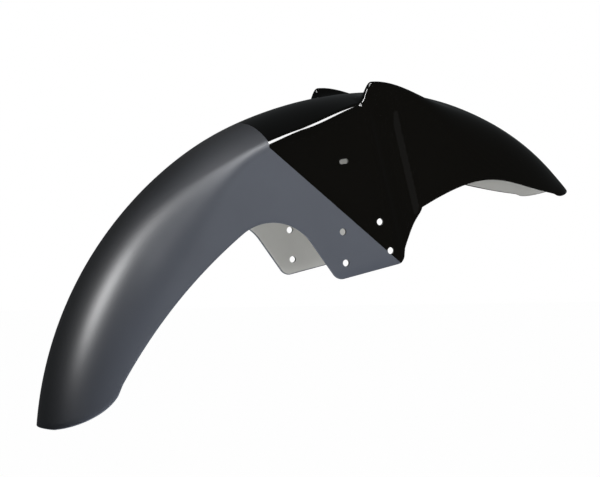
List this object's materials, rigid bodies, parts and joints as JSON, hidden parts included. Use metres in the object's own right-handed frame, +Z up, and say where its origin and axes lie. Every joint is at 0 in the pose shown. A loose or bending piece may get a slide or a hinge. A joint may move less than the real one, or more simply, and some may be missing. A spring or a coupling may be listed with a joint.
{
  "type": "motorcycle front mudguard",
  "caption": "One-piece front mudguard: long round tail, creased shoulders, two horns, tapered nose and a bolted plate on each side.",
  "frame": {"origin": "midway between the side plates, on the common axis of the upper rear bolt holes", "axes": "+X forward, +Y to the rider's left, +Z up; XZ is the plane of symmetry"},
  "size_m": [0.5272, 0.15, 0.3184],
  "materials": {
    "paint": "painted in two tones, satin graphite tail and gloss black front"
  },
  "bodies": {
    "root": {"mudguard": "paint"}
  },
  "joints": []
}
